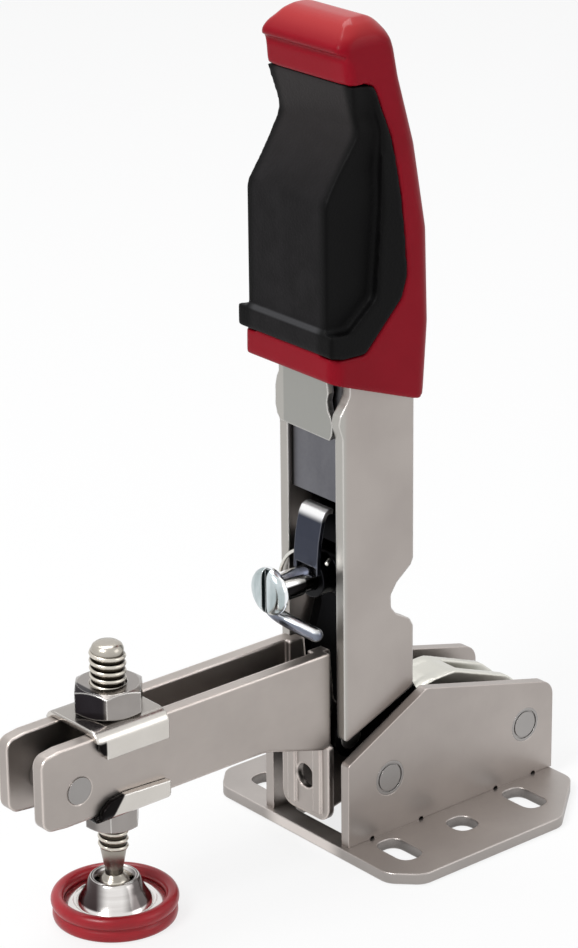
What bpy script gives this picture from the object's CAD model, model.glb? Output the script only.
import bpy
import bmesh
import math
from mathutils import Matrix, Vector


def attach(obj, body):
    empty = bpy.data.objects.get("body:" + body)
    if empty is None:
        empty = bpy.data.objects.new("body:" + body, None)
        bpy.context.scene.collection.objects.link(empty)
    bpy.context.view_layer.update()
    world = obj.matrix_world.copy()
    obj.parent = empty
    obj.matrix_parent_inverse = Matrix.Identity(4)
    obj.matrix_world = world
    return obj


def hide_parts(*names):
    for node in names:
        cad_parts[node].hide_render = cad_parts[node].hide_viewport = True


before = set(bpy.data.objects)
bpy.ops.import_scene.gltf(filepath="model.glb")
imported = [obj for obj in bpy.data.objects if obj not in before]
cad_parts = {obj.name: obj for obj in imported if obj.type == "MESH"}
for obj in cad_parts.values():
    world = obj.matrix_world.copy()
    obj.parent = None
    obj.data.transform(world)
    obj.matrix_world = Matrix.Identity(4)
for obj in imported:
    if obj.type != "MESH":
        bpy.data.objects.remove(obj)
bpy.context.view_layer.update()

# ---- Studio ----
# The clamp stands on a plain pale table under three soft lamps, seen from its front left
# and a little above.  The table glows white where it is looked at or mirrored, so
# plated sheet shows a bright room, and it still takes the clamp's shadow.
eye = bpy.data.cameras.new("studio_camera")
eye.sensor_fit = "VERTICAL"
eye.sensor_height = 36.0
eye.lens = 133.64
eye.clip_end = 20.0
studio_camera = bpy.data.objects.new("studio_camera", eye)
right = Vector((0.764483, -0.644565, -0.010030))
upward = Vector((0.244716, 0.275779, 0.929548))
looking = Vector((0.596389, 0.713079, -0.368564))
studio_camera.matrix_world = (
    Matrix.Translation((-0.484853, -0.541990, 0.369314))
    @ Matrix((right, upward, -looking)).transposed().to_4x4())
bpy.context.scene.collection.objects.link(studio_camera)
bpy.context.scene.camera = studio_camera
bpy.context.scene.view_settings.view_transform = "Standard"


def soft_lamp(name, place, aim, width, height, watts):
    lamp = bpy.data.lights.new(name, "AREA")
    lamp.shape = "RECTANGLE"
    lamp.size, lamp.size_y, lamp.energy = width, height, watts
    holder = bpy.data.objects.new(name, lamp)
    holder.location = place
    holder.rotation_euler = (Vector(aim) - Vector(place)).to_track_quat("-Z", "Y").to_euler()
    bpy.context.scene.collection.objects.link(holder)


soft_lamp("key_lamp", (-0.9, -0.15, 0.95), (0, 0, 0.07), 0.5, 0.5, 9)
soft_lamp("top_lamp", (0.1, 0.35, 1.1), (0, 0, 0.08), 0.7, 0.5, 5.5)
soft_lamp("side_lamp", (0.55, -0.95, 0.45), (0, 0, 0.08), 0.6, 0.6, 1.5)

world = bpy.data.worlds.new("pale_room")
bpy.context.scene.world = world
world.use_nodes = True
room = world.node_tree
room.nodes.clear()
path = room.nodes.new("ShaderNodeLightPath")
seen = room.nodes.new("ShaderNodeMath")
seen.operation = "MAXIMUM"
room.links.new(path.outputs["Is Camera Ray"], seen.inputs[0])
room.links.new(path.outputs["Is Glossy Ray"], seen.inputs[1])
through = room.nodes.new("ShaderNodeMath")
through.operation = "MAXIMUM"
room.links.new(seen.outputs[0], through.inputs[0])
room.links.new(path.outputs["Is Transmission Ray"], through.inputs[1])
dim = room.nodes.new("ShaderNodeBackground")
dim.inputs["Color"].default_value = (0.96, 0.98, 1.0, 1)
dim.inputs["Strength"].default_value = 0.32
bright = room.nodes.new("ShaderNodeBackground")
bright.inputs["Color"].default_value = (1, 1, 1, 1)
bright.inputs["Strength"].default_value = 1.0
both = room.nodes.new("ShaderNodeMixShader")
sky = room.nodes.new("ShaderNodeOutputWorld")
room.links.new(through.outputs[0], both.inputs["Fac"])
room.links.new(dim.outputs[0], both.inputs[1])
room.links.new(bright.outputs[0], both.inputs[2])
room.links.new(both.outputs[0], sky.inputs["Surface"])

table = bpy.data.meshes.new("table_top")
table.from_pydata([(-4, -4, -0.0002), (4, -4, -0.0002), (4, 4, -0.0002), (-4, 4, -0.0002)],
                  [], [(0, 1, 2, 3)])
table_top = bpy.data.objects.new("table_top", table)
bpy.context.scene.collection.objects.link(table_top)


# ---- Base plate and side walls ----
# The base is a flat stamped plate with slots and holes, and two upright walls are staked
# into it through tabs.  All three are sheet steel with a satin nickel plating.  Its edges
# and the bar in front of the window are toned lighter than the rest.
class Value:
    """A number or colour on its way through a finish, written as plain arithmetic."""

    def __init__(self, finish, socket):
        self.finish, self.socket = finish, socket

    def _maths(self, operation, first, second=None):
        sockets = {"0": first} if second is None else {"0": first, "1": second}
        return self.finish.node("ShaderNodeMath", {"operation": operation}, **sockets)["Value"]

    def __add__(self, other): return self._maths("ADD", self, other)
    def __sub__(self, other): return self._maths("SUBTRACT", self, other)
    def __rsub__(self, other): return self._maths("SUBTRACT", other, self)
    def __mul__(self, other): return self._maths("MULTIPLY", self, other)
    def __truediv__(self, other): return self._maths("DIVIDE", self, other)
    def __pow__(self, other): return self._maths("POWER", self, other)
    def over(self, level): return self._maths("GREATER_THAN", self, level)

    def ramp(self, low, high):
        """0 below low, 1 above high, smooth between."""
        kind = {"interpolation_type": "SMOOTHSTEP"}
        sockets = {"Value": self, "From Min": low, "From Max": high}
        return self.finish.node("ShaderNodeMapRange", kind, **sockets)["Result"]


class Finish:
    """One surface finish; its sockets are fed with Values."""

    def __init__(self, name, **plain):
        self.material = bpy.data.materials.new(name)
        self.material.use_nodes = True
        self.tree = self.material.node_tree
        self.skin = self.tree.nodes["Principled BSDF"]
        for socket, number in plain.items():
            self.skin.inputs[socket.replace("_", " ")].default_value = number
        self.spot = self.node("ShaderNodeTexCoord")["Object"]

    def node(self, kind, settings=None, **sockets):
        made = self.tree.nodes.new(kind)
        for key, value in (settings or {}).items():
            setattr(made, key, value)
        for key, value in sockets.items():
            into = made.inputs[int(key)] if key.isdigit() else made.inputs[key.replace("_", " ")]
            if isinstance(value, Value):
                self.tree.links.new(value.socket, into)
            else:
                into.default_value = value
        return {out.name: Value(self, out) for out in made.outputs if out.enabled}

    def noise(self, scale, detail=4.0, rough=0.55, stretch=(1, 1, 1)):
        where = self.node("ShaderNodeMapping", **{"Vector": self.spot, "Scale": stretch})["Vector"]
        return self.node("ShaderNodeTexNoise", Vector=where, Scale=scale, Detail=detail,
                         Roughness=rough)["Fac"]

    def axes(self):
        return self.node("ShaderNodeSeparateXYZ", Vector=self.spot)

    def bump(self, strength, height, depth=0.0001, **under):
        return self.node("ShaderNodeBump", Strength=strength, Distance=depth, Height=height,
                         **under)["Normal"]

    def blend(self, share, first, second):
        made = self.tree.nodes.new("ShaderNodeMix")
        made.data_type = "RGBA"
        for into, value in ((made.inputs["Factor"], share), (made.inputs[6], first),
                            (made.inputs[7], second)):
            if isinstance(value, Value):
                self.tree.links.new(value.socket, into)
            else:
                into.default_value = value
        return Value(self, made.outputs[2])

    def rounding(self, radius):
        """Normal of a rounded-over edge and a mask of 1 on that edge."""
        round_normal = self.node("ShaderNodeBevel", {"samples": 6}, Radius=radius)["Normal"]
        flat = self.node("ShaderNodeNewGeometry")["True Normal"]
        same = self.node("ShaderNodeVectorMath", {"operation": "DOT_PRODUCT"},
                         **{"0": round_normal, "1": flat})["Value"]
        return round_normal, (1 - same).ramp(0.0, 0.12)

    def feed(self, **sockets):
        for socket, value in sockets.items():
            self.tree.links.new(value.socket, self.skin.inputs[socket.replace("_", " ")])


def plated_sheet(name, tone, roughness=0.36, edge=0.0005, grain=(1, 1, 1), worn=0.5, light_bar=0.0):
    """Satin plated steel: fine rolled grain, faint cloudy patches, bright rounded edges.

    light_bar is how far the bar in front of the base's window is toned lighter."""
    finish = Finish(name, Metallic=1.0, Roughness=roughness)
    normal, rim = finish.rounding(edge)
    fine = finish.noise(900, 3.0, 0.6, grain)
    cloudy = finish.noise(38, 3.0, 0.5)
    speck = finish.noise(260, 2.0, 0.5)
    dark = tuple(c * 0.90 for c in tone) + (1,)
    light = tuple(min(1.0, c * 1.08) for c in tone) + (1,)
    glint = tuple(min(1.0, c * (1.0 + worn)) for c in tone) + (1,)
    body = finish.blend(cloudy.ramp(0.3, 0.7) * 0.6 + speck * 0.4, dark, light)
    open_air = finish.node("ShaderNodeAmbientOcclusion", {"samples": 8}, Distance=0.014)["AO"]
    shade = open_air.ramp(0.12, 0.58)
    body = finish.blend(shade, tuple(c * 0.22 for c in tone) + (1,), body)
    if light_bar:
        place = finish.axes()
        bar = ((1 - place["X"].ramp(-0.0250, -0.0220))
               * (1 - (place["Y"] * place["Y"]).ramp(0.0070 ** 2, 0.0140 ** 2)))
        body = finish.blend(bar * light_bar, body, tuple(min(1.0, c * 2.5) for c in tone) + (1,))
    colour = finish.blend(rim * 0.9 * (shade * 0.6 + 0.4), body, glint)
    rough = fine * 0.10 + cloudy * 0.08 + (roughness - 0.09) - rim * 0.08
    bump = finish.bump(0.08, fine * 0.5 + speck * 0.5, Normal=normal)
    finish.feed(Base_Color=colour, Roughness=rough, Normal=bump)
    return finish.material


def dress(material, *names):
    """Gives solids carried over from the frame their finish."""
    for name in names:
        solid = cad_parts[name]
        for slot in solid.material_slots:
            slot.material = material


nickel_plate = plated_sheet("nickel_plate", (0.375, 0.346, 0.328), 0.40, 0.0006, (1, 1, 1),
                            light_bar=0.65)
nickel_walls = plated_sheet("nickel_walls", (0.405, 0.366, 0.343), 0.38, 0.0004, (1, 1, 0.25))
dress(nickel_walls, "wall_near", "wall_far")


# ---- Rivets, bushes and pins ----
# Turned steel rivets hold the two pivots and the arm's tip, their heads formed flush with
# the walls.  Plain bushes keep arm and link centred, and two pins join handle, arm and link.
rivet_steel = plated_sheet("rivet_steel", (0.34, 0.325, 0.315), 0.34, 0.00012, worn=0.25)
dress(rivet_steel, "arm_pivot_rivet", "link_pivot_rivet", "arm_tip_rivet")
bush_steel = plated_sheet("bush_steel", (0.22, 0.21, 0.20), 0.42, 0.0002, (0.3, 1, 1))
dress(bush_steel, "arm_bush_near", "arm_bush_far", "link_bush_near", "link_bush_far",
      "handle_pin", "toggle_pin")

# ---- Arm and link ----
# The fork arm is one folded sheet: two long cheeks, joggled in towards the pivots, with a
# tongue across the front.  The toggle link behind it is a short folded channel whose web
# covers only its front half.
arm_nickel = plated_sheet("arm_nickel", (0.425, 0.384, 0.358), 0.38, 0.0009, (0.25, 1, 1), 0.9)
dress(arm_nickel, "arm")
middle_along, plate_thick = 27.3, 2.5


def at(along, side, up):
    """Place on the clamp in metres, from millimetres behind the walls' front edge."""
    return Vector(((along - middle_along) / 1000, side / 1000, (up + plate_thick) / 1000))


def new_piece(name, points, faces, material, body, sharp=35):
    """A closed mesh that rides on a body, smooth but for its sharp edges."""
    mesh = bpy.data.meshes.new(name)
    mesh.from_pydata([tuple(p) for p in points], [], faces)
    build = bmesh.new()
    build.from_mesh(mesh)
    bmesh.ops.remove_doubles(build, verts=build.verts, dist=1e-7)
    bmesh.ops.recalc_face_normals(build, faces=build.faces)
    for face in build.faces:
        face.smooth = True
    for line in build.edges:
        if len(line.link_faces) == 2 and line.calc_face_angle(0) > math.radians(sharp):
            line.smooth = False
    build.to_mesh(mesh)
    build.free()
    mesh.materials.append(material)
    piece = bpy.data.objects.new(name, mesh)
    bpy.context.scene.collection.objects.link(piece)
    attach(piece, body)
    return piece


def row_faces(rows, steps):
    """Faces of rows of points set one after another, closed at both ends."""
    faces = []
    for row in range(rows - 1):
        for step in range(steps):
            after = (step + 1) % steps
            faces.append((row * steps + step, row * steps + after,
                          (row + 1) * steps + after, (row + 1) * steps + step))
    return faces + [tuple(range(steps))[::-1],
                    tuple((rows - 1) * steps + step for step in range(steps))]


def turned(profile, centre, steps=64):
    """Points and faces of a profile of (radius, up) turned about an upright line."""
    points = []
    for radius, up in profile:
        for step in range(steps):
            turn = 2 * math.pi * step / steps
            points.append(at(centre + radius * math.cos(turn), radius * math.sin(turn), up))
    return points, row_faces(len(profile), steps)


def rounded_loop(corners):
    """Closed line through corners; each is across, up and the rounding of that corner."""
    loop = []
    for i, (x, up, radius) in enumerate(corners):
        here = Vector((x, up))
        before, after = Vector(corners[i - 1][:2]), Vector(corners[(i + 1) % len(corners)][:2])
        back, on = (before - here), (after - here)
        reach = min(radius / math.tan(back.angle(on) / 2), back.length * 0.48, on.length * 0.48)
        if reach < 1e-3:
            loop.append(here)
            continue
        for k in range(11):
            t = k / 10
            loop.append((1 - t) ** 2 * (here + back.normalized() * reach) + 2 * t * (1 - t) * here
                        + t ** 2 * (here + on.normalized() * reach))
    return loop


def solid_between(first, second):
    """Closed solid between two equal loops of points."""
    n = len(first)
    faces = [tuple(range(n)), tuple(range(2 * n - 1, n - 1, -1))]
    faces += [(i, (i + 1) % n, n + (i + 1) % n, n + i) for i in range(n)]
    mesh = bpy.data.meshes.new("tool")
    mesh.from_pydata([tuple(p) for p in first + second], [], faces)
    build = bmesh.new()
    build.from_mesh(mesh)
    bmesh.ops.recalc_face_normals(build, faces=build.faces)
    build.to_mesh(mesh)
    build.free()
    tool = bpy.data.objects.new("tool", mesh)
    bpy.context.scene.collection.objects.link(tool)
    return tool


def side_prism(corners, half, middle=0.0):
    """Slab across the clamp with the side outline given by its corners."""
    loop = rounded_loop(corners)
    return solid_between([at(p.x, middle - half, p.y) for p in loop],
                         [at(p.x, middle + half, p.y) for p in loop])


def flat_prism(corners, low, high):
    """Slab between two heights; corners are along, side and rounding."""
    loop = rounded_loop(corners)
    return solid_between([at(p.x, p.y, low) for p in loop], [at(p.x, p.y, high) for p in loop])


def flat_box(front, rear, near, far, corner=0.0):
    """Cutter through the base plate, from front to rear and near side to far side."""
    return flat_prism([(front, near, corner), (rear, near, corner), (rear, far, corner),
                       (front, far, corner)], -4, 2)


def circle(middle, radius, steps):
    """Places round a circle in one plane."""
    turns = [2 * math.pi * step / steps for step in range(steps)]
    return [(middle[0] + radius * math.cos(turn), middle[1] + radius * math.sin(turn))
            for turn in turns]


def shape(piece, kind, tool=None, **settings):
    """Applies one modifier to a piece and removes the tool it used."""
    step = piece.modifiers.new("step", kind)
    for key, value in settings.items():
        setattr(step, key, value)
    if tool:
        step.solver, step.object = "EXACT", tool
    after = piece.evaluated_get(bpy.context.evaluated_depsgraph_get())
    finished = bpy.data.meshes.new_from_object(after)
    piece.modifiers.clear()
    piece.data = finished
    if tool:
        bpy.data.objects.remove(tool)


def cut(piece, tool):
    shape(piece, "BOOLEAN", tool, operation="DIFFERENCE")


def join(piece, tool):
    shape(piece, "BOOLEAN", tool, operation="UNION")


def trim(piece, tool):
    """Keeps what lies inside the tool."""
    shape(piece, "BOOLEAN", tool, operation="INTERSECT")


def from_sheet(piece, name, material):
    """Names a piece of sheet and gives it flat faces and its finish."""
    piece.name = name
    for polygon in piece.data.polygons:
        polygon.use_smooth = False
    piece.data.materials.clear()
    piece.data.materials.append(material)


def soften(piece, grid, rounds):
    """Even fine mesh with every edge rounded, as a moulding has."""
    shape(piece, "REMESH", mode="VOXEL", voxel_size=grid)
    shape(piece, "SMOOTH", factor=0.5, iterations=rounds)
    for polygon in piece.data.polygons:
        polygon.use_smooth = True


plate_front, plate_rear, plate_side = -1.4, 61.9, 34.5
half_outline = [(plate_front, 28.7), (4.4, plate_side), (46.4, plate_side), (plate_rear, 21.8)]
base = flat_prism([(x, -y, 5) for x, y in half_outline]
                  + [(x, y, 5) for x, y in reversed(half_outline)], -plate_thick, 0.0)
half_wide, half_sheet, wall_middle, hole_side = 3.35, 1.25, 13.05, 22.0
for side in (-hole_side, hole_side):
    for along, half_long in ((8.3, 5.5), (46.6, 5.5), (middle_along, 3.4)):
        cut(base, flat_box(along - half_wide, along + half_wide,
                           side - half_long, side + half_long, 3.3))
cut(base, flat_box(3.6, 52.0, -9.3, 9.3, 2))
for side in (-wall_middle, wall_middle):
    for front, rear in ((7.7, 21.0), (45.5, 56.0)):
        cut(base, flat_box(front, rear, side - half_sheet, side + half_sheet))
from_sheet(base, "base_flange", nickel_plate)
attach(base, "base")
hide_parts("base_plate")

link_nickel = plated_sheet("link_nickel", (0.60, 0.59, 0.54), 0.32, 0.0007, (0.3, 1, 1), 0.5)
link_sides = [(24.2, 14.5, 5), (19.3, 17.0, 5), (19.3, 22.6, 4), (24.5, 24.9, 5), (31.5, 28.2, 8),
              (39.5, 28.7, 8), (56.5, 22.2, 7), (62.0, 17.5, 7), (61.9, 9.0, 7), (54.0, 4.9, 8),
              (46.5, 7.0, 8), (38.0, 12.4, 8)]
link = side_prism(link_sides, half_sheet, -4.35)
link.name = "link_channel"
join(link, side_prism(link_sides, half_sheet, 4.35))
join(link, side_prism([(29.0, 24.5, 1), (30.0, 27.3, 2), (33.5, 28.2, 6), (39.5, 28.5, 6),
                       (43.5, 27.0, 2), (43.0, 24.8, 1), (38.5, 26.2, 6), (33.0, 25.8, 4)], 3.6))
for place, size in (((53.9, 13.5), 3.05), ((26.0, 19.6), 2.6)):
    ring = [(along, up, 0) for along, up in circle(place, size, 32)]
    cut(link, side_prism(ring, 9))
soften(link, 0.00035, 3)
link.data.materials.append(link_nickel)
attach(link, "link")
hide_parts("toggle_link")

# ---- Strap washers and nuts ----
# Two straps with folded sides sit astride the arm above and below, and a hexagon nut on each
# side clamps them together on the spindle.  Both are bright plated steel; the gaps beside
# the folded sides are toned black.
spindle_along, spindle_x = -54.6, -0.0819
strap_finish = Finish("strap_plate", Metallic=1.0, Roughness=0.24)
normal, rim = strap_finish.rounding(0.0005)
place = strap_finish.axes()
fine = strap_finish.noise(900, 3.0, 0.6)
cloudy = strap_finish.noise(120, 3.0, 0.5)
# The gaps are tones laid on by place, not openings.
lower_gap = ((1 - (place["X"] - place["Z"] * 0.75).ramp(-0.1105, -0.1099))
             * (1 - place["Z"].over(0.038)))
upper_gap = ((1 - place["X"].ramp(-0.0898, -0.0894)) * (1 - place["Z"].ramp(0.0466, 0.0474))
             * place["Z"].over(0.038))
top = place["Z"].ramp(0.0486, 0.0490)
body = strap_finish.blend(cloudy, (0.58, 0.55, 0.51, 1), (0.68, 0.65, 0.61, 1))
body = strap_finish.blend(top * 0.8, body, (0.30, 0.28, 0.26, 1))
body = strap_finish.blend(rim * 0.7, body, (0.92, 0.90, 0.87, 1))
strap_finish.feed(
    Base_Color=strap_finish.blend(lower_gap + upper_gap, body, (0.008, 0.007, 0.007, 1)),
    Roughness=fine * 0.10 + cloudy * 0.08 + 0.16,
    Normal=strap_finish.bump(0.08, fine, Normal=normal))
strap_plate = strap_finish.material


def cross_prism(section, front, rear):
    """Bar along the arm; its section is side and up, mirrored about the middle plane."""
    loop = section + [(-side, up) for side, up in reversed(section)]
    n = len(loop)
    points = [at(front, side, up) for side, up in loop] + [at(rear, side, up) for side, up in loop]
    faces = [tuple(range(n)), tuple(range(2 * n - 1, n - 1, -1))]
    faces += [(i, (i + 1) % n, n + (i + 1) % n, n + i) for i in range(n)]
    return points, faces


def strap(name, flat_up, turn, notch, outer_bend, front):
    """Strap washer: flat across the arm, sides folded down (-1) or up (1)."""
    sheet, half_across, fold_depth = 1.5, 9.3, 6.6
    inner_bend = outer_bend - sheet
    section = [(0.0, flat_up)]
    centre_up = flat_up + turn * outer_bend
    for k in range(9):
        turned_by = math.radians(90 * k / 8)
        section.append((half_across - outer_bend + outer_bend * math.sin(turned_by),
                        centre_up - turn * outer_bend * math.cos(turned_by)))
    reach = flat_up + turn * fold_depth
    section += [(half_across, reach), (half_across - sheet, reach)]
    for k in range(8, -1, -1):
        turned_by = math.radians(90 * k / 8)
        section.append((half_across - outer_bend + inner_bend * math.sin(turned_by),
                        centre_up - turn * inner_bend * math.cos(turned_by)))
    section.append((0.0, flat_up + turn * sheet))
    washer = new_piece(name, *cross_prism(section[1:-1], front, -45.6), strap_plate, "carriage")
    for side in (-1, 1):
        cut(washer, side_prism(notch, 1.9, side * 9.6))
    hole = circle((spindle_along, 0), 4.3, 48)
    drill = solid_between([at(x, y, 20) for x, y in hole], [at(x, y, 50) for x, y in hole])
    cut(washer, drill)
    soften(washer, 0.00025, 4)
    return washer


upper_strap = strap("upper_strap", 46.75, -1, [
    (-69, 44.4, 0), (-63.9, 44.4, 0.4), (-63.7, 42.4, 0.8), (-62.9, 41.4, 0.6), (-62.2, 41.2, 0.3),
    (-62.2, 39.0, 0), (-69, 39.0, 0)], 3.0, -64.6)
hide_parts("upper_flanged_washer")
lower_strap = strap("lower_strap", 25.6, 1, [
    (-69, 26.4, 0), (-64.2, 26.4, 0.4), (-63.6, 28.6, 1.5), (-61.2, 30.3, 1.5),
    (-57.6, 30.9, 2), (-55, 30.9, 1), (-55, 34, 0), (-69, 34, 0)], 1.8, -64.9)
cut(lower_strap, side_prism([(-60, 30.9, 0), (-40, 29.9, 0), (-40, 40, 0), (-60, 40, 0)], 12))
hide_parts("lower_flanged_washer")


def nut_finish(name, blackness):
    """Plated nut; blackness is how dark the flank towards the arm's tip is toned."""
    finish = Finish(name, Metallic=1.0, Roughness=0.22)
    normal, rim = finish.rounding(0.0005)
    place = finish.axes()
    black = 1 - place["X"].ramp(spindle_x - 0.0056, spindle_x - 0.0050)
    cloudy = finish.noise(150, 3.0, 0.5)
    scratch = finish.noise(700, 3.0, 0.6, (1, 1, 0.15))
    light = finish.blend(cloudy, (0.27, 0.25, 0.235, 1), (0.36, 0.335, 0.32, 1))
    dark = finish.blend(cloudy, (0.016, 0.014, 0.016, 1), (0.030, 0.026, 0.030, 1))
    body = finish.blend(black * blackness, light, dark)
    finish.feed(Base_Color=finish.blend(rim * 0.9, body, (0.80, 0.78, 0.75, 1)),
                Roughness=scratch * 0.14 + cloudy * 0.08 + 0.12,
                Normal=finish.bump(0.10, scratch, Normal=normal))
    return finish.material


dress(nut_finish("nut_steel", 1.0), "spindle_nut")
dress(nut_finish("lower_nut_steel", 0.45), "lower_nut")

# ---- Spindle ----
# A threaded rod runs down through the strap washers and ends in a tapered neck and a ball
# for the pad.  Its thread is rolled, so crests and roots are rounded, and the roots are dark.
ball_up, ball_radius, neck_radius = 4.4, 3.6, 2.0
thread_finish = Finish("thread_steel", Metallic=1.0, Roughness=0.26)
place = thread_finish.axes()
across = place["X"] - spindle_x
from_axis = (across * across + place["Y"] * place["Y"]) ** 0.5
up_low = 1 - place["Z"].ramp(0.0205, 0.0225)
crest = (from_axis + up_low * 0.00066).ramp(0.00355, 0.00385)
plain = 1 - place["Z"].ramp(0.0162, 0.0172)
tip = place["Z"].ramp(0.0612, 0.0632)
cloudy = thread_finish.noise(240, 3.0, 0.5)
thread_finish.feed(
    Base_Color=thread_finish.blend(
        crest + plain * 0.5 + tip * 0.7, (0.045, 0.038, 0.028, 1),
        thread_finish.blend(cloudy, (0.50, 0.46, 0.40, 1), (0.74, 0.70, 0.63, 1))),
    Roughness=cloudy * 0.14 + 0.18,
    Normal=thread_finish.bump(0.10, cloudy))
thread_steel = thread_finish.material
ball_arc = [(ball_radius * math.cos(math.radians(a)),
             ball_up + ball_radius * math.sin(math.radians(a))) for a in range(-88, 55, 6)]
core = ball_arc + [(neck_radius, 7.6), (neck_radius, 8.6), (2.35, 10.6), (2.85, 13.4), (2.85, 18.6),
                   (3.35, 19.0), (3.35, 59.6), (3.55, 60.1), (3.5, 60.7), (3.2, 61.4), (2.6, 61.85),
                   (1.6, 62.0)]
spindle_core = new_piece("spindle_core", *turned(core, spindle_along), thread_steel, "spindle")
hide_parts("spindle")


def thread_tree():
    """Geometry nodes for a rolled thread: a ridge swept along a helix."""
    tree = bpy.data.node_groups.new("rolled_thread", "GeometryNodeTree")
    face = tree.interface
    for name, kind, value in (
            ("Turns", "NodeSocketFloat", 8.0), ("Radius", "NodeSocketFloat", 0.0037),
            ("Length", "NodeSocketFloat", 0.01), ("Ridge", "NodeSocketFloat", 0.0004),
            ("Place", "NodeSocketVector", (0, 0, 0)), ("Finish", "NodeSocketMaterial", None)):
        socket = face.new_socket(name, in_out="INPUT", socket_type=kind)
        if value is not None:
            socket.default_value = value
    face.new_socket("Geometry", in_out="OUTPUT", socket_type="NodeSocketGeometry")
    given = tree.nodes.new("NodeGroupInput")
    result = tree.nodes.new("NodeGroupOutput")
    helix = tree.nodes.new("GeometryNodeCurveSpiral")
    helix.inputs["Resolution"].default_value = 40
    ridge = tree.nodes.new("GeometryNodeCurvePrimitiveCircle")
    ridge.inputs["Resolution"].default_value = 8
    upright = tree.nodes.new("GeometryNodeSetCurveNormal")
    upright.mode = "Z_UP"
    sweep = tree.nodes.new("GeometryNodeCurveToMesh")
    sweep.inputs["Fill Caps"].default_value = True
    move = tree.nodes.new("GeometryNodeTransform")
    smooth = tree.nodes.new("GeometryNodeSetShadeSmooth")
    solid = tree.nodes.new("GeometryNodeRealizeInstances")
    coat = tree.nodes.new("GeometryNodeSetMaterial")
    for source, out, target, into in (
            (given, "Turns", helix, "Rotations"), (given, "Radius", helix, "Start Radius"),
            (given, "Radius", helix, "End Radius"), (given, "Length", helix, "Height"),
            (given, "Ridge", ridge, "Radius"), (helix, "Curve", upright, "Curve"),
            (upright, "Curve", sweep, "Curve"), (ridge, "Curve", sweep, "Profile Curve"),
            (sweep, "Mesh", move, "Geometry"), (given, "Place", move, "Translation"),
            (move, "Geometry", smooth, "Geometry"), (smooth, "Geometry", solid, "Geometry"),
            (solid, "Geometry", coat, "Geometry"), (given, "Finish", coat, "Material"),
            (coat, "Geometry", result, "Geometry")):
        tree.links.new(source.outputs[out], target.inputs[into])
    return tree


rolled_thread = thread_tree()


def rolled(name, material, body, **sizes):
    """A plain mesh of one run of thread."""
    maker = bpy.data.objects.new(name, bpy.data.meshes.new(name))
    bpy.context.scene.collection.objects.link(maker)
    nodes = maker.modifiers.new("thread", "NODES")
    nodes.node_group = rolled_thread
    sizes["Finish"] = material
    for item in rolled_thread.interface.items_tree:
        if item.in_out == "INPUT" and item.name in sizes:
            nodes[item.identifier] = sizes[item.name]
    after = maker.evaluated_get(bpy.context.evaluated_depsgraph_get())
    made = bpy.data.meshes.new_from_object(after)
    maker.modifiers.clear()
    maker.data = made
    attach(maker, body)
    return maker


pitch = 1.7
upper_thread = rolled("spindle_thread_upper", thread_steel, "spindle", Turns=40.8 / pitch,
                      Radius=0.00345, Length=0.0408, Ridge=0.00054,
                      Place=at(spindle_along, 0, 19.6))
lower_thread = rolled("spindle_thread_lower", thread_steel, "spindle", Turns=4.6 / pitch,
                      Radius=0.00282, Length=0.0046, Ridge=0.00054,
                      Place=at(spindle_along, 0, 13.9))

# ---- Swivel pad ----
# A turned, polished foot with a flared cup for the spindle's ball, and a red rubber rim
# pressed round its edge.  The rim is a thick ring with a groove low on its outside.
foot_finish = Finish("foot_polish", Metallic=1.0, Roughness=0.16)
normal, rim = foot_finish.rounding(0.0003)
place = foot_finish.axes()
# Dark streaks down the cone, laid on by place.
left = ((place["X"] - spindle_x) * -0.764 + place["Y"] * 0.645) / 0.0066
cone = place["Z"].ramp(0.0040, 0.0044)
ring_mark = foot_finish.noise(300, 2.0, 0.5, (0.2, 0.2, 4))
stain = foot_finish.noise(90, 3.0, 0.6)
streak = left.ramp(0.15, 0.60) + (1 - left.ramp(-0.70, -0.25)) * 0.9
dull = foot_finish.blend(stain, (0.030, 0.022, 0.022, 1), (0.085, 0.065, 0.065, 1))
clear = foot_finish.blend(ring_mark, (0.62, 0.59, 0.57, 1), (0.90, 0.88, 0.86, 1))
cup = foot_finish.blend(cone * streak, clear, dull)
foot_finish.feed(Base_Color=foot_finish.blend(rim * 0.8, cup, (0.9, 0.88, 0.86, 1)),
                 Roughness=ring_mark * 0.10 + stain * 0.08 + 0.06,
                 Normal=foot_finish.bump(0.08, ring_mark, Normal=normal))
foot_profile = [(3.9, -1.9), (10.9, -1.9), (11.3, -1.5), (11.3, 0.7), (10.9, 1.2), (9.2, 1.35),
                (8.9, 1.0), (8.5, 0.9), (8.3, 1.2), (8.0, 1.6), (7.6, 2.2), (6.9, 3.2), (6.35, 4.4),
                (5.9, 5.7), (5.5, 6.6), (5.2, 6.95), (4.7, 6.95), (4.35, 6.6), (4.1, 6.1),
                (3.95, 5.6), (3.9, 4.4), (3.9, 0.2)]


def spun_ring(name, profile, material, body, steps=96):
    """Closed ring: a closed profile of (radius, up) turned about the spindle's line."""
    n = len(profile)
    points = [at(spindle_along + r * math.cos(2 * math.pi * t / steps),
                 r * math.sin(2 * math.pi * t / steps), up)
              for t in range(steps) for r, up in profile]
    faces = [(t * n + i, t * n + (i + 1) % n, (t + 1) % steps * n + (i + 1) % n,
              (t + 1) % steps * n + i) for t in range(steps) for i in range(n)]
    return new_piece(name, points, faces, material, body, sharp=50)


foot = spun_ring("pad_foot", foot_profile, foot_finish.material, "pad")
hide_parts("pad_plate")

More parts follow.
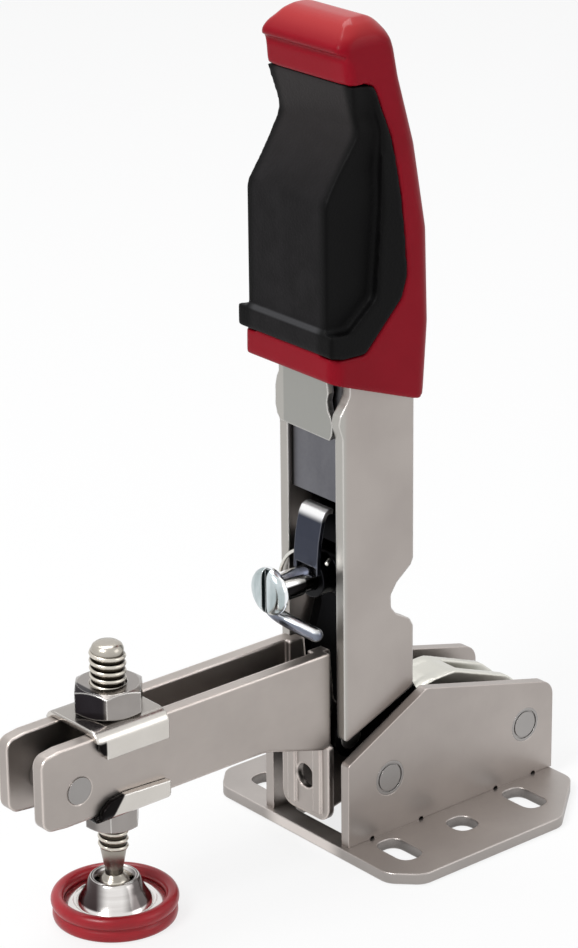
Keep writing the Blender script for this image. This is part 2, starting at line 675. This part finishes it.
rim_rubber = Finish("rim_rubber", Roughness=0.34, Coat_Weight=0.15, Specular_IOR_Level=0.3)
cloud = rim_rubber.noise(120, 3.0, 0.5)
pore = rim_rubber.noise(1500, 2.0, 0.5)
rim_red = rim_rubber.blend(cloud.ramp(0.3, 0.7), (0.30, 0.005, 0.012, 1), (0.36, 0.008, 0.016, 1))
rim_rubber.feed(Base_Color=rim_red, Roughness=cloud * 0.12 + 0.24,
                Normal=rim_rubber.bump(0.12, pore))
bead = [(12.5 + 1.45 * math.cos(math.radians(a)), 1.75 + 1.6 * math.sin(math.radians(a)))
        for a in range(-48, 191, 9)]
rim_profile = [(11.35, -2.45), (13.1, -2.45), (13.5, -2.2), (13.65, -1.6), (13.6, -0.7),
               (13.35, -0.2), (13.1, 0.1), (13.1, 0.35)]
rim_profile += bead + [(11.1, 1.2), (11.32, 0.7), (11.35, -0.15), (11.35, -1.6)]
rubber_rim = spun_ring("pad_rim", rim_profile, rim_rubber.material, "pad", 120)
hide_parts("pad_ring")

# ---- Handle stem ----
# The stem is a tall folded channel of plated sheet, open in front below the grip, with one
# side folded round the front at the top, a bump on each front edge and a notch in the rear.
stem_finish = Finish("stem_nickel", Metallic=1.0, Roughness=0.36)
normal, rim = stem_finish.rounding(0.0006)
place = stem_finish.axes()
fine = stem_finish.noise(900, 3.0, 0.6, (1, 1, 0.25))
cloudy = stem_finish.noise(38, 3.0, 0.5)
middle_of_sheet = place["Y"] * place["Y"]
# The channel's inside and its front are toned by place.
inside = (1 - middle_of_sheet.ramp(0.0082 ** 2, 0.00838 ** 2)) * place["X"].ramp(-0.0232, -0.0222)
front = 1 - place["X"].ramp(-0.0254, -0.0240)
body = stem_finish.blend(cloudy.ramp(0.3, 0.7), (0.372, 0.335, 0.314, 1), (0.430, 0.391, 0.366, 1))
body = stem_finish.blend(front, body, (0.44, 0.427, 0.40, 1))
body = stem_finish.blend(front * (1 - middle_of_sheet.ramp(0.0079 ** 2, 0.0083 ** 2)), body,
                         (0.34, 0.338, 0.318, 1))
body = stem_finish.blend(inside * 0.96, body, (0.012, 0.012, 0.012, 1))
stem_finish.feed(
    Base_Color=stem_finish.blend(rim * 0.75 * (1 - inside), body, (0.80, 0.78, 0.75, 1)),
    Roughness=fine * 0.10 + cloudy * 0.08 + 0.27,
    Normal=stem_finish.bump(0.08, fine, Normal=normal))
rear_edge = [(22.1, 32.0, 1.2), (22.1, 46.9, 0.8), (21.0, 48.9, 1.6), (17.3, 50.9, 1.6),
             (15.6, 52.9, 1.6), (15.5, 56.0, 1.6), (17.3, 58.6, 1.6), (21.4, 61.7, 0.9),
             (22.1, 63.2, 0.8), (22.1, 134.0, 0)]
near_front = [(4.0, 134.0, 0), (3.9, 105.6, 1.2), (3.0, 103.8, 1.2), (1.2, 101.4, 1.2),
              (0.7, 99.4, 1.2), (1.8, 96.0, 1.5), (1.9, 24.0, 1.0)]
far_front = [(2.6, 134.0, 0), (2.6, 106.4, 1.2), (1.3, 103.4, 1.2), (1.2, 98.4, 1.2),
             (2.4, 94.6, 1.5), (2.4, 24.0, 1.0)]
side_middle = 9.6
stem = side_prism(near_front + rear_edge, half_sheet, -side_middle)
join(stem, side_prism(far_front + rear_edge, half_sheet, side_middle))
join(stem, side_prism([(19.6, 64.0, 0), (22.1, 63.6, 0), (22.1, 134, 0), (19.6, 134, 0)], 10.8))
web = [(9.2, 95.3), (-7.0, 95.0), (-7.7, 96.2), (-8.0, 98.6), (-7.5, 100.2), (-6.6, 101.6),
       (-6.2, 103.6), (-6.7, 105.6), (-6.4, 107.6), (-5.6, 110.0), (-5.6, 134.0), (9.6, 134.0),
       (9.6, 106.6), (10.3, 105.2), (10.8, 103.0), (10.8, 98.6), (10.3, 96.6)]
flap = solid_between([at(1.2, side, up) for side, up in web],
                     [at(2.9, side, up) for side, up in web])
join(stem, flap)
from_sheet(stem, "stem_channel", stem_finish.material)
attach(stem, "handle")
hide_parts("handle_stem")

# ---- Blued lever, leaf and block ----
# Inside the stem runs a blued steel lever that carries both pins.  A blued leaf spring bears
# on the adjusting screw, which turns in a block between the lever's sides.
lever_finish = Finish("blued_lever", Metallic=1.0, Roughness=0.42)
place = lever_finish.axes()
cloudy = lever_finish.noise(60, 4.0, 0.6, (1, 1, 0.4))
fine = lever_finish.noise(1100, 2.0, 0.5)
# Only the face above the leaf is light; the rest is toned nearly black.
face = place["Z"].ramp(0.0815, 0.0822) * (1 - place["Y"].ramp(0.0074, 0.0080))
lit = lever_finish.blend(cloudy.ramp(0.3, 0.7) * 0.7 + fine * 0.3, (0.105, 0.105, 0.120, 1),
                         (0.190, 0.190, 0.205, 1))
lever_finish.feed(Base_Color=lever_finish.blend(face, (0.006, 0.006, 0.007, 1), lit),
                  Roughness=cloudy * 0.16 + 0.30,
                  Normal=lever_finish.bump(0.2, fine))
dress(lever_finish.material, "toggle_lever")
block_finish = Finish("blued_block", Metallic=1.0, Roughness=0.42)
normal, rim = block_finish.rounding(0.0004)
cloudy = block_finish.noise(60, 4.0, 0.6, (1, 1, 0.4))
fine = block_finish.noise(1100, 2.0, 0.5)
body = block_finish.blend(cloudy.ramp(0.3, 0.7), (0.0075, 0.0075, 0.00825, 1),
                          (0.0125, 0.0125, 0.01375, 1))
block_finish.feed(Base_Color=block_finish.blend(rim * 0.7, body, (0.03, 0.03, 0.035, 1)),
                  Roughness=cloudy * 0.16 + 0.30,
                  Normal=block_finish.bump(0.15, fine, Normal=normal))
dress(block_finish.material, "adjuster_block")
leaf_finish = Finish("blued_leaf", Metallic=1.0, Roughness=0.4)
normal, rim = leaf_finish.rounding(0.0004)
place = leaf_finish.axes()
cloudy = leaf_finish.noise(90, 4.0, 0.6, (1, 1, 0.4))
# The curl at the top is toned bright.
curl = place["Z"].ramp(0.0768, 0.0785)
body = leaf_finish.blend(cloudy, (0.030, 0.034, 0.050, 1), (0.062, 0.068, 0.092, 1))
body = leaf_finish.blend(curl, body, (0.93, 0.93, 0.93, 1))
leaf_finish.feed(Base_Color=leaf_finish.blend(rim * 0.35, body, (0.35, 0.36, 0.40, 1)),
                 Roughness=cloudy * 0.16 + 0.28,
                 Normal=leaf_finish.bump(0.12, cloudy, Normal=normal))
leaf_line = [(0.3, 62.4), (0.4, 66.0), (0.8, 70.0), (1.5, 73.4), (1.9, 75.0), (2.6, 76.3),
             (3.5, 76.7), (4.6, 76.5)]
outer, inner, half_strip = [], [], 0.55
for i, (x, up) in enumerate(leaf_line):
    before = Vector(leaf_line[max(i - 1, 0)])
    after = Vector(leaf_line[min(i + 1, len(leaf_line) - 1)])
    run = (after - before).normalized()
    across = Vector((run.y, -run.x)) * half_strip
    bend = 0.9 if 0 < i < len(leaf_line) - 1 else 0.1
    outer.append((x - across.x + half_strip, up - across.y, bend))
    inner.append((x + across.x + half_strip, up + across.y, bend))
leaf = side_prism(outer + inner[::-1], 3.9, 0.3)
cut(leaf, side_prism([(-6, 57.6, 0), (6, 57.6, 0), (6, 64.2, 0), (-6, 64.2, 0)], 3.4, 0.0))
from_sheet(leaf, "adjuster_spring_leaf", leaf_finish.material)
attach(leaf, "handle")
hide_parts("adjuster_leaf")

# ---- Adjusting screw and its lever ----
# A slotted screw with a polished domed head turns in the block.  A bent round bar is hooked
# behind the head, and the end of a light wire spring shows behind the leaf.
screw_up, screw_z = 60.8, 0.0633


def along_turned(profile, steps=72):
    """Points and faces of a profile of (along, radius) turned about the screw's line."""
    points = [at(along, radius * math.cos(2 * math.pi * t / steps),
                 screw_up + radius * math.sin(2 * math.pi * t / steps))
              for along, radius in profile for t in range(steps)]
    return points, row_faces(len(profile), steps)


screw_finish = Finish("screw_polish", Metallic=1.0, Roughness=0.16)
normal, rim = screw_finish.rounding(0.0003)
place = screw_finish.axes()
lathe = screw_finish.noise(260, 3.0, 0.5, (0.3, 1, 0.35))
# The shank carries a bright and a dark band, the slot is toned dark.
shaft = place["X"].ramp(-0.0366, -0.0358)
high = (place["Z"] - screw_z).ramp(0.0008, 0.0016)
low = 1 - (place["Z"] - screw_z).ramp(-0.0028, -0.0022)
slot = 1 - (place["Y"] * place["Y"]).ramp(0.0008 ** 2, 0.00092 ** 2)
face_tone = screw_finish.blend(lathe.ramp(0.3, 0.7), (0.40, 0.46, 0.47, 1), (0.66, 0.72, 0.74, 1))
face_tone = screw_finish.blend(slot * (1 - shaft), face_tone, (0.035, 0.050, 0.052, 1))
face_tone = screw_finish.blend(place["X"].ramp(-0.0378, -0.0373), face_tone, (0.90, 0.92, 0.94, 1))
shaft_tone = screw_finish.blend(high + low * 0.35, (0.010, 0.009, 0.010, 1), (0.95, 0.95, 0.95, 1))
screw_tone = screw_finish.blend(shaft, face_tone, shaft_tone)
screw_finish.feed(Base_Color=screw_finish.blend(rim * 0.6, screw_tone, (0.9, 0.92, 0.93, 1)),
                  Roughness=lathe * 0.12 + 0.10,
                  Normal=screw_finish.bump(0.10, lathe, Normal=normal))
screw_profile = [(-11.75, 0.3), (-11.75, 3.4), (-11.6, 4.3), (-11.25, 4.9), (-10.7, 5.3),
                 (-9.9, 5.45), (-9.2, 5.3), (-8.85, 4.8), (-8.8, 3.3), (-7.0, 3.25),
                 (-2.2, 3.25), (-2.2, 2.9), (13.3, 2.9), (13.5, 2.6)]
screw = new_piece("adjusting_screw_turned", *along_turned(screw_profile), screw_finish.material,
                  "screw")
cut(screw, side_prism([(-13, 54, 0), (-10.6, 54, 0), (-10.6, 67, 0), (-13, 67, 0)], 0.85))
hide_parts("adjusting_screw")


def swept(name, places, radius, material, body, steps=20):
    """Round bar through places on the clamp, with rounded ends."""
    path, ends = [], 6
    dense = []
    for i in range(len(places) - 1):
        p0, p1 = Vector(places[max(i - 1, 0)]), Vector(places[i])
        p2, p3 = Vector(places[i + 1]), Vector(places[min(i + 2, len(places) - 1)])
        for k in range(8):
            t = k / 8
            dense.append(0.5 * ((2 * p1) + (p2 - p0) * t + (2 * p0 - 5 * p1 + 4 * p2 - p3) * t ** 2
                                + (3 * p1 - p0 - 3 * p2 + p3) * t ** 3))
    dense.append(Vector(places[-1]))
    first, last = (dense[0] - dense[1]).normalized(), (dense[-1] - dense[-2]).normalized()
    for k in range(ends, 0, -1):
        lean = math.radians(88 * k / ends)
        path.append((dense[0] + first * radius * math.sin(lean), radius * math.cos(lean)))
    path += [(p, radius) for p in dense]
    for k in range(1, ends + 1):
        lean = math.radians(88 * k / ends)
        path.append((dense[-1] + last * radius * math.sin(lean), radius * math.cos(lean)))
    points, sideways = [], None
    for i, (p, r) in enumerate(path):
        run = (path[min(i + 1, len(path) - 1)][0] - path[max(i - 1, 0)][0]).normalized()
        if sideways is None:
            sideways = run.cross(Vector((0.2, 0.9, 0.4))).normalized()
        sideways = (sideways - run * sideways.dot(run)).normalized()
        other = run.cross(sideways)
        for t in range(steps):
            turn = 2 * math.pi * t / steps
            q = p + (sideways * math.cos(turn) + other * math.sin(turn)) * r
            points.append(at(*q))
    return new_piece(name, points, row_faces(len(path), steps), material, body, sharp=60)


bar_finish = Finish("bar_steel", Metallic=1.0, Roughness=0.2)
place = bar_finish.axes()
outward = bar_finish.node("ShaderNodeNewGeometry")["Normal"]
up_facing = bar_finish.node("ShaderNodeSeparateXYZ", Vector=outward)["Z"]
drawn = bar_finish.noise(500, 3.0, 0.5)
tail = place["X"].ramp(-0.0326, -0.0306)
bar_tone = bar_finish.blend(up_facing.ramp(0.35, 0.75), (0.20, 0.22, 0.27, 1),
                            (0.88, 0.90, 0.92, 1))
bar_tone = bar_finish.blend(1 - up_facing.ramp(-0.75, -0.30), bar_tone, (0.40, 0.42, 0.43, 1))
bar_finish.feed(
    Base_Color=bar_finish.blend(tail * 0.85, bar_tone, (0.035, 0.036, 0.048, 1)),
    Roughness=drawn * 0.12 + 0.14,
    Normal=bar_finish.bump(0.08, drawn))
bar_line = [(-8.0, 3.6, 58.4), (-8.2, 2.2, 56.2), (-7.8, 0.7, 54.7), (-7.1, -2.0, 53.7),
            (-6.0, -4.5, 52.8), (-4.0, -8.2, 51.3)]
bar = swept("screw_lever_bar", bar_line, 1.6, bar_finish.material, "handle")
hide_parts("screw_bracket")
wire_steel = plated_sheet("wire_steel", (0.74, 0.73, 0.68), 0.25, 0.0001, worn=0.1)
swept("spring_wire", [(1.4, 10.1, 58.9), (1.4, 9.5, 60.7), (1.4, 8.2, 62.9), (1.4, 6.7, 64.5),
                      (1.4, 5.0, 65.6), (1.6, 3.4, 66.0)], 0.42, wire_steel, "handle", 12)
swept("spring_end", [(2.6, -5.2, 66.2), (1.6, -5.6, 65.8)], 0.55, wire_steel, "handle", 12)

# ---- Grip ----
# The grip is a red moulded shell pushed over the stem, with a black grained insert in front.
# The insert has a raised block, a collar at its foot and a flush border on each side, and the
# shell ends above it in a nose and a rounded crown.


def eased(rows, up, column):
    """Value of one column at a height, eased between the rows and never past them."""
    if up <= rows[0][0]:
        return rows[0][column]
    for before, after in zip(rows, rows[1:]):
        if up <= after[0]:
            share = (up - before[0]) / (after[0] - before[0])
            return before[column] + (after[column] - before[column]) * share
    return rows[-1][column]


def rounded_column(rows, levels=150, turns=14):
    """Points and faces of a column; rows hold height, front, rear, half width and corner."""
    points = []
    low, high = rows[0][0], rows[-1][0]
    for level in range(levels + 1):
        up = low + (high - low) * level / levels
        front, rear, half, corner = (eased(rows, up, c) for c in (1, 2, 3, 4))
        corner = min(corner, half - 0.05, (rear - front) / 2 - 0.05)
        for x, y, start in ((rear, half, 0), (front, half, 90), (front, -half, 180),
                            (rear, -half, 270)):
            for turn in range(turns + 1):
                angle = math.radians(start + 90 * turn / turns)
                centre_x = x - math.copysign(corner, x - (front + rear) / 2)
                centre_y = y - math.copysign(corner, y)
                points.append(at(centre_x + corner * math.cos(angle),
                                 centre_y + corner * math.sin(angle), up))
    return points, row_faces(levels + 1, 4 * (turns + 1))


red_plastic = Finish("red_plastic", Roughness=0.34, Specular_IOR_Level=0.10)
swirl = red_plastic.noise(45, 3.0, 0.5)
grit = red_plastic.noise(1300, 2.0, 0.6)
crown = red_plastic.axes()["Z"].ramp(0.1845, 0.1895)
plain_red = red_plastic.blend(swirl.ramp(0.25, 0.75), (0.238, 0.002, 0.010, 1),
                              (0.275, 0.003, 0.013, 1))
red_plastic.feed(
    Base_Color=red_plastic.blend(crown * 0.75, plain_red, (0.46, 0.036, 0.036, 1)),
    Coat_Weight=crown * 0.30,
    Roughness=swirl * 0.10 + 0.30 + grit * 0.06,
    Normal=red_plastic.bump(0.18, grit))

shell_rows = [(100.0, -5.0, 22.6, 15.2, 3.6), (119.0, -5.0, 24.2, 15.2, 4.0),
              (140.0, -5.0, 23.9, 15.1, 4.4), (159.0, -5.0, 21.1, 14.6, 4.8),
              (174.0, 1.0, 16.6, 13.7, 3.2), (179.3, 0.6, 15.4, 13.6, 2.8),
              (180.6, -0.7, 15.2, 13.6, 3.0), (182.4, -0.9, 14.8, 13.5, 3.4),
              (183.9, -0.3, 14.4, 13.0, 4.2), (185.2, 0.8, 13.9, 12.2, 5.2),
              (186.4, 1.7, 13.2, 11.2, 5.2), (187.5, 3.0, 12.2, 9.2, 4.4)]
shell = new_piece("grip_red_shell", *rounded_column(shell_rows), red_plastic.material, "handle")
trim(shell, side_prism([(-4.4, 111.0, 0.8), (22.0, 101.3, 3.0), (23.9, 119.0, 20),
                        (23.6, 139.7, 30), (20.8, 159.2, 40), (15.6, 176.4, 20), (14.0, 184.6, 6),
                        (10.8, 187.5, 5), (4.6, 187.5, 5), (-0.6, 182.5, 1.6), (-0.4, 181.3, 0.5),
                        (1.6, 180.4, 0.5), (1.1, 179.2, 0.5), (1.8, 174.3, 0.4), (7.0, 174.3, 1),
                        (7.0, 150.0, 1), (0.0, 140.0, 1), (0.0, 118.0, 1), (-4.4, 117.0, 0.2)], 20))
window = [(-9.0, 117.3, 0), (-1.9, 116.1, 0.5), (4.6, 115.8, 2), (14.9, 126.2, 2.5),
          (16.5, 131.2, 5), (15.2, 148.0, 12), (12.8, 161.4, 12), (8.4, 173.7, 2.5),
          (2.0, 174.4, 0.5), (-9.0, 174.4, 0)]
for side in (14.4, -14.4):
    cut(shell, side_prism(window, 4, side))
soften(shell, 0.00045, 5)
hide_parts("grip_shell")

black_grain = Finish("black_grain", Roughness=0.55, Specular_IOR_Level=0.09)
leather = black_grain.node("ShaderNodeTexVoronoi", {"feature": "SMOOTH_F1"},
                           Vector=black_grain.spot, Scale=1500.0, Smoothness=0.6)["Distance"]
mottle = black_grain.noise(160, 4.0, 0.6)
wide = black_grain.noise(40, 2.0, 0.5)
place = black_grain.axes()
# Sides toned darker, the top and the collar's ridge lighter, all by place.
flank = (place["Y"] * place["Y"]).ramp(0.0098 ** 2, 0.0122 ** 2)
rubbed = place["Z"].ramp(0.150, 0.176) * (1 - place["Z"].ramp(0.176, 0.180)) * 0.8
body = black_grain.blend(mottle.ramp(0.35, 0.75) * 0.6 + wide * 0.3,
                         (0.005, 0.0045, 0.005, 1), (0.014, 0.013, 0.014, 1))
body = black_grain.blend(rubbed, body, (0.034, 0.030, 0.030, 1))
ridge = (place["Z"].ramp(0.1240, 0.1246) * (1 - place["Z"].ramp(0.1251, 0.1256))
         * (1 - place["X"].ramp(-0.0310, -0.0295)))
body = black_grain.blend(ridge * 0.9, body, (0.055, 0.055, 0.058, 1))
black_grain.feed(
    Base_Color=black_grain.blend(flank * 0.92, body, (0.0004, 0.0004, 0.0005, 1)),
    Roughness=mottle * 0.16 + 0.42 + wide * 0.08,
    Normal=black_grain.bump(0.35, leather * 0.7 + mottle * 0.6, 0.00015))
insert_rows = [(114.0, -7.0, 21.0, 15.45, 0.6), (140.0, -7.0, 21.0, 15.3, 0.6),
               (159.0, -7.0, 21.0, 14.8, 0.6), (177.0, -7.0, 21.0, 13.9, 0.6)]
insert = new_piece("grip_black_insert", *rounded_column(insert_rows, 40, 3), black_grain.material,
                   "handle")
trim(insert, side_prism([(-5.3, 117.2, 0.5), (-1.9, 116.2, 1.0), (4.5, 115.9, 3),
                         (14.8, 126.3, 2.5), (16.4, 131.2, 5), (15.1, 148.0, 12), (12.7, 161.4, 12),
                         (8.3, 173.6, 2.5), (2.1, 174.3, 0.5), (4.8, 163.6, 4), (-4.4, 150.0, 4),
                         (-4.4, 122.6, 0.2), (-5.3, 122.2, 0.3)], 20))
for side in (-1, 1):
    cut(insert, side_prism([(-9.0, 122.3, 0), (0.2, 121.6, 2), (7.7, 127.6, 3), (9.4, 148.0, 10),
                            (9.8, 163.0, 6), (8.0, 171.0, 4), (4.0, 176.0, 0), (-9.0, 176.0, 0)],
                           3.0, side * 15.6))
shape(insert, "REMESH", mode="VOXEL", voxel_size=0.0004)
waist = [(100.0, 0.3), (150.0, 0.3), (163.5, -0.5), (175.0, 1.3)]
for vertex in insert.data.vertices:
    if abs(abs(vertex.co.y) - 0.0126) < 0.0003:
        outward = eased(waist, vertex.co.z * 1000 - plate_thick, 1) / 1000
        vertex.co.y += math.copysign(outward, vertex.co.y)
soften(insert, 0.0004, 5)
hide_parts("grip_insert")

# ---- Table finish ----
# The table is matt white board.
board = Finish("white_board", Roughness=0.9)
board.skin.inputs["Base Color"].default_value = (0.93, 0.93, 0.93, 1)
glow = board.tree.nodes.new("ShaderNodeEmission")
ways = board.node("ShaderNodeLightPath")
mix = board.tree.nodes.new("ShaderNodeMixShader")
looked = board.node("ShaderNodeMath", {"operation": "MAXIMUM"},
                    **{"0": ways["Is Camera Ray"], "1": ways["Is Glossy Ray"]})["Value"]
looked = board.node("ShaderNodeMath", {"operation": "MAXIMUM"},
                    **{"0": looked, "1": ways["Is Transmission Ray"]})["Value"]
board.tree.links.new((looked * 0.80).socket, mix.inputs["Fac"])
board.tree.links.new(board.skin.outputs[0], mix.inputs[1])
board.tree.links.new(glow.outputs[0], mix.inputs[2])
board.tree.links.new(mix.outputs[0], board.tree.nodes["Material Output"].inputs["Surface"])
table_top.data.materials.append(board.material)
